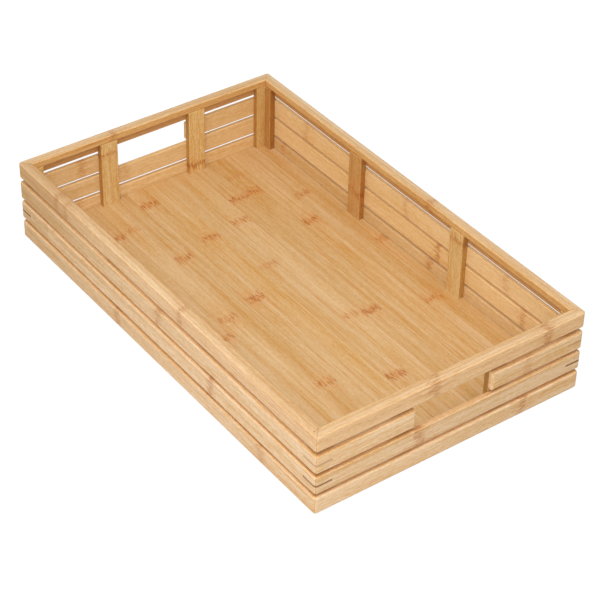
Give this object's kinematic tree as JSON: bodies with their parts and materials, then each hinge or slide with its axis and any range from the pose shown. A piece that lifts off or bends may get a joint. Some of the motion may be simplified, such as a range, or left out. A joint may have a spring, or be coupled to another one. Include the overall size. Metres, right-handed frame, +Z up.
{
  "type": "serving tray",
  "caption": "Rectangular bamboo serving tray with slatted walls, a thicker top rail, a slotted hand-hold in each short wall and a floor of glued staves.",
  "frame": {"origin": "on the table, under the middle of the tray", "axes": "+X along the tray towards one short wall with a hand-hold, +Y across it, +Z up"},
  "size_m": [0.5, 0.3026, 0.089],
  "materials": {
    "top_rail": "pale honey bamboo, clear satin lacquer, straight edge grain with a few knuckles",
    "wall_slats": "pale honey bamboo, clear satin lacquer, fine lengthwise grain with a few knuckles",
    "inner_battens": "warmer bamboo strip with vertical grain, clear satin lacquer",
    "mitre_keys": "dark end-grain bamboo, flush with the slats",
    "floor_staves": "flat-pressed bamboo staves with coarse fibre streaks and knuckles, clear satin lacquer"
  },
  "bodies": {
    "root": {"rail_front": "top_rail", "rail_right": "top_rail", "rail_back": "top_rail", "rail_left": "top_rail", "upper_slat_front": "wall_slats", "upper_slat_back": "wall_slats", "hold_slat_right_near": "wall_slats", "hold_slat_right_far": "wall_slats", "hold_slat_left_near": "wall_slats", "hold_slat_left_far": "wall_slats", "lower_slat_front": "wall_slats", "lower_slat_right": "wall_slats", "lower_slat_back": "wall_slats", "lower_slat_left": "wall_slats", "base_slat_front": "wall_slats", "base_slat_right": "wall_slats", "base_slat_back": "wall_slats", "base_slat_left": "wall_slats", "batten_front_near": "inner_battens", "batten_front_far": "inner_battens", "batten_right_near": "inner_battens", "batten_right_far": "inner_battens", "batten_back_near": "inner_battens", "batten_back_far": "inner_battens", "batten_left_near": "inner_battens", "batten_left_far": "inner_battens", "post_front_near": "inner_battens", "post_front_far": "inner_battens", "post_right_near": "inner_battens", "post_right_far": "inner_battens", "post_back_near": "inner_battens", "post_back_far": "inner_battens", "post_left_near": "inner_battens", "post_left_far": "inner_battens", "mitre_keys": "mitre_keys", "floor_stave_1": "floor_staves", "floor_stave_2": "floor_staves", "floor_stave_3": "floor_staves", "floor_stave_4": "floor_staves", "floor_stave_5": "floor_staves", "floor_stave_6": "floor_staves", "floor_stave_7": "floor_staves", "floor_stave_8": "floor_staves", "floor_stave_9": "floor_staves", "floor_stave_10": "floor_staves", "floor_stave_11": "floor_staves", "floor_stave_12": "floor_staves", "floor_stave_13": "floor_staves", "floor_stave_14": "floor_staves", "floor_stave_15": "floor_staves"}
  },
  "joints": []
}
